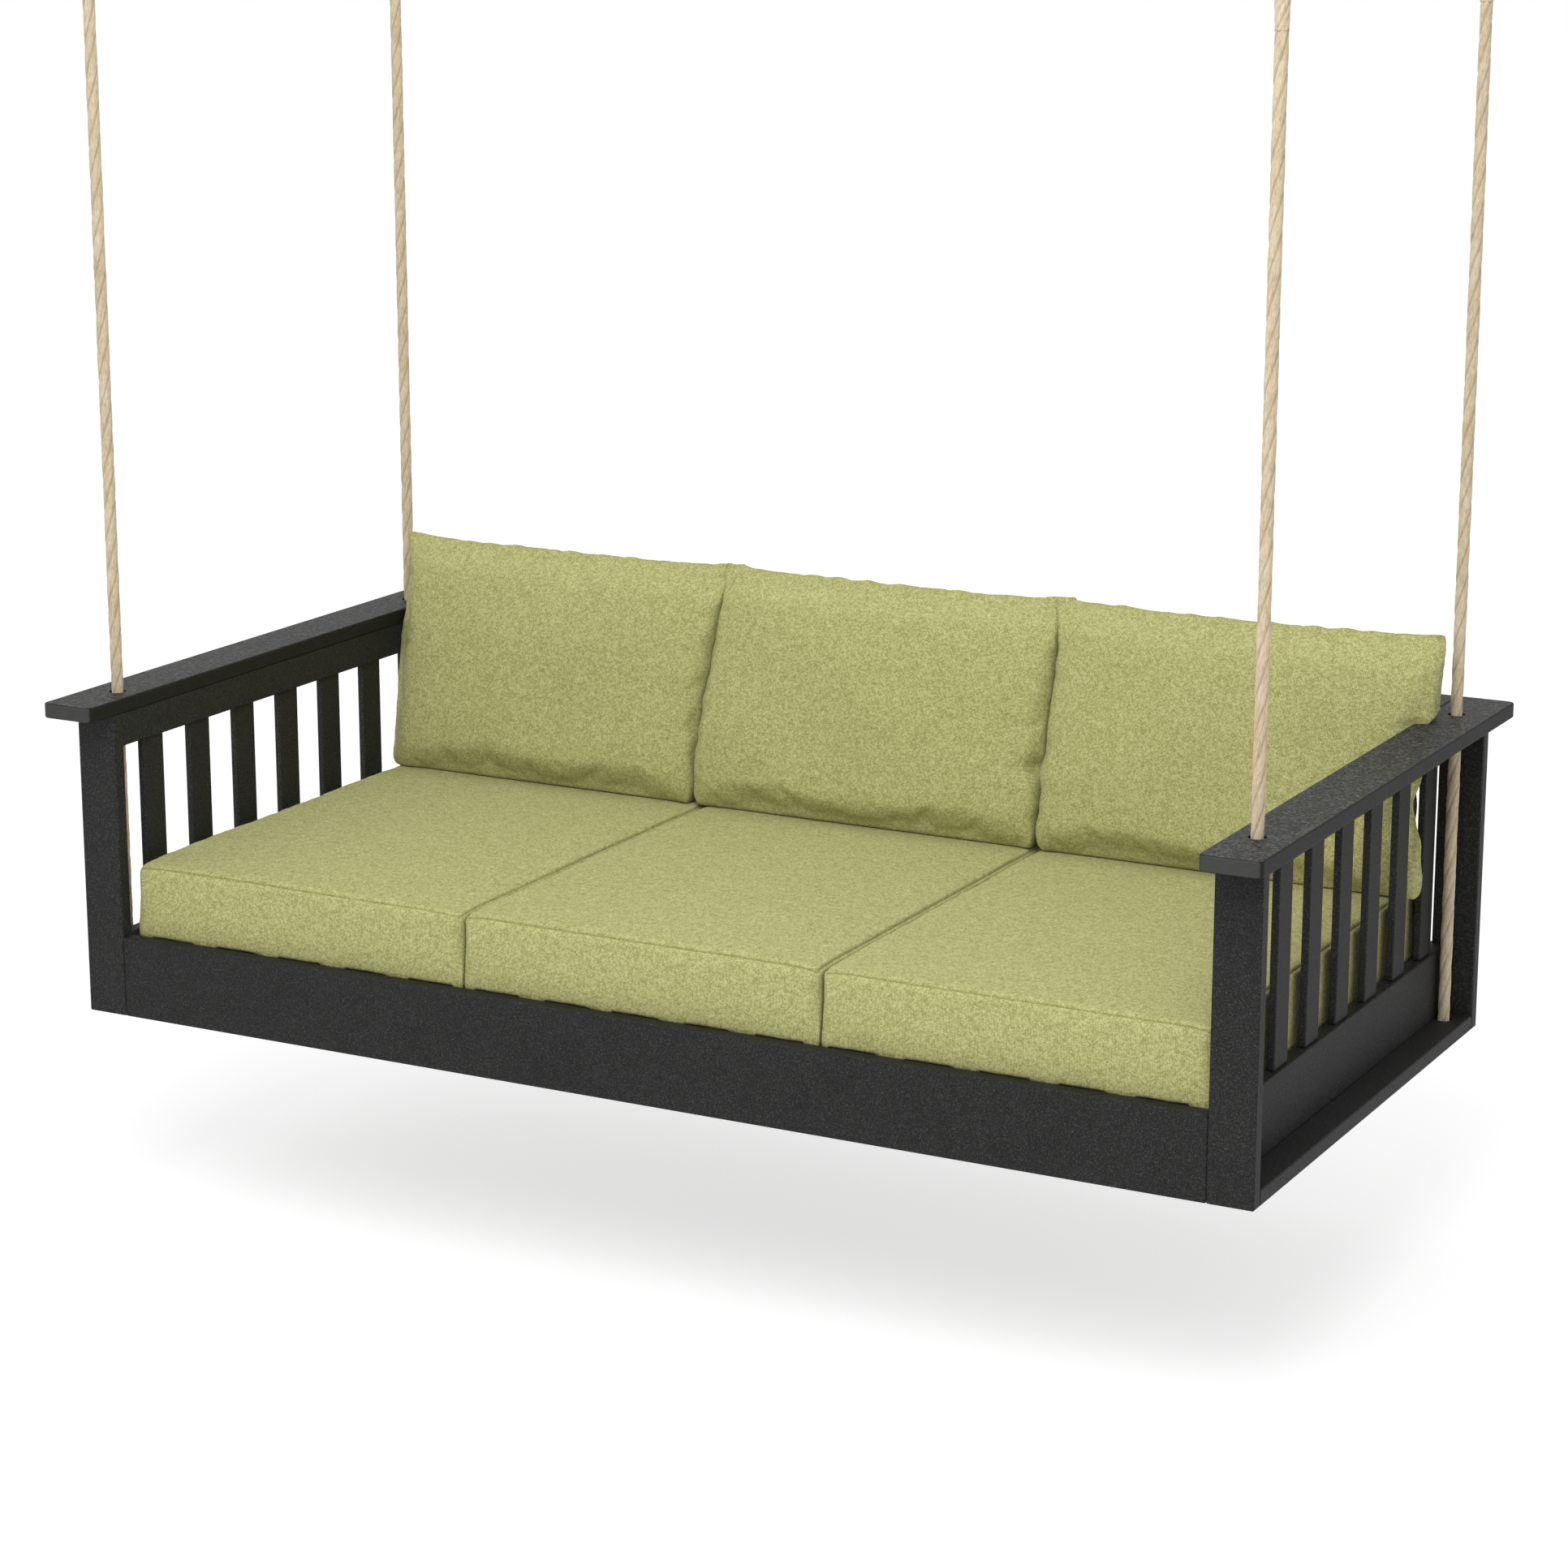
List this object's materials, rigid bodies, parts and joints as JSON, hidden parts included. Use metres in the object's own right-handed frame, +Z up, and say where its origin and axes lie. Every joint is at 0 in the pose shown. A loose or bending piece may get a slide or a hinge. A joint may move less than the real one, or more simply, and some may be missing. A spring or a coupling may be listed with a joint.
{
  "type": "porch swing daybed",
  "caption": "Slatted daybed porch swing with seat and back cushions, hung by twisted ropes through its armrests from bolted ceiling hangers.",
  "frame": {"origin": "middle of the ceiling plane that the four rope hangers bolt to, straight above the middle of the seat", "axes": "+Z up, out of the ceiling mount; +X along the seat, to the right as seen from its front; +Y to the back of the seat, where the back cushions stand"},
  "size_m": [2.1766, 1.166, 1.991],
  "materials": {
    "board": "matte pebbled charcoal black plastic lumber",
    "cushion_fabric": "woven outdoor fabric in yellow green over dark green",
    "rope": "natural beige three strand twisted rope",
    "steel": "zinc plated",
    "thimble_steel": "galvanised",
    "hanger_steel": "black powder coat, zinc plated bolts"
  },
  "bodies": {
    "ceiling": {"ceiling_hangers": "hanger_steel", "hanger_bolts": "hanger_steel", "hanger_nuts": "hanger_steel"},
    "seat": {"front_left_post": "board", "front_right_post": "board", "rear_left_post": "board", "rear_right_post": "board", "front_apron": "board", "rear_apron": "board", "left_armrest": "board", "left_side_top_rail": "board", "left_side_bottom_rail": "board", "left_side_slat_1": "board", "left_side_slat_2": "board", "left_side_slat_3": "board", "left_side_slat_4": "board", "left_side_slat_5": "board", "left_side_slat_6": "board", "left_side_slat_7": "board", "left_rope_board": "board", "right_armrest": "board", "right_side_top_rail": "board", "right_side_bottom_rail": "board", "right_side_slat_1": "board", "right_side_slat_2": "board", "right_side_slat_3": "board", "right_side_slat_4": "board", "right_side_slat_5": "board", "right_side_slat_6": "board", "right_side_slat_7": "board", "right_rope_board": "board", "back_cap": "board", "back_top_rail": "board", "back_slats": "board", "seat_slats": "board", "seat_slat_screws": "steel", "front_seat_cleat": "board", "rear_seat_cleat": "board", "centre_seat_beam": "board", "seat_cross_tie": "board", "corner_brackets": "steel", "rope_end_caps": "steel", "left_seat_cushion": "cushion_fabric", "left_back_cushion": "cushion_fabric", "middle_seat_cushion": "cushion_fabric", "middle_back_cushion": "cushion_fabric", "right_seat_cushion": "cushion_fabric", "right_back_cushion": "cushion_fabric", "front_left_lower_rope": "rope", "front_right_lower_rope": "rope", "rear_left_lower_rope": "rope", "rear_right_lower_rope": "rope"},
    "rope_front_left": {"front_left_upper_rope": "rope", "front_left_thimble": "thimble_steel"},
    "rope_front_right": {"front_right_upper_rope": "rope", "front_right_thimble": "thimble_steel"},
    "rope_rear_left": {"rear_left_upper_rope": "rope", "rear_left_thimble": "thimble_steel"},
    "rope_rear_right": {"rear_right_upper_rope": "rope", "rear_right_thimble": "thimble_steel"}
  },
  "joints": [
    {"name": "front_left_rope_swing", "type": "hinge", "parent": "ceiling", "child": "rope_front_left", "pos_m": [-1.0305, -0.44935, -0.046], "axis": [1, 0, 0], "range_deg": [-15, 15]},
    {"name": "front_right_rope_swing", "type": "hinge", "parent": "ceiling", "child": "rope_front_right", "pos_m": [1.0305, -0.44935, -0.046], "axis": [1, 0, 0], "range_deg": [-15, 15]},
    {"name": "rear_left_rope_swing", "type": "hinge", "parent": "ceiling", "child": "rope_rear_left", "pos_m": [-1.0305, 0.44935, -0.046], "axis": [1, 0, 0], "range_deg": [-15, 15]},
    {"name": "rear_right_rope_swing", "type": "hinge", "parent": "ceiling", "child": "rope_rear_right", "pos_m": [1.0305, 0.44935, -0.046], "axis": [1, 0, 0], "range_deg": [-15, 15]},
    {"name": "seat_stays_level", "type": "hinge", "parent": "rope_front_left", "child": "seat", "pos_m": [-1.0305, -0.44935, -1.4403], "axis": [1, 0, 0], "range_deg": [-15, 15]}
  ],
  "couplings": [
    {"joint": "front_right_rope_swing", "follows": "front_left_rope_swing", "ratio": 1},
    {"joint": "rear_left_rope_swing", "follows": "front_left_rope_swing", "ratio": 1},
    {"joint": "rear_right_rope_swing", "follows": "front_left_rope_swing", "ratio": 1},
    {"joint": "seat_stays_level", "follows": "front_left_rope_swing", "ratio": -1}
  ]
}
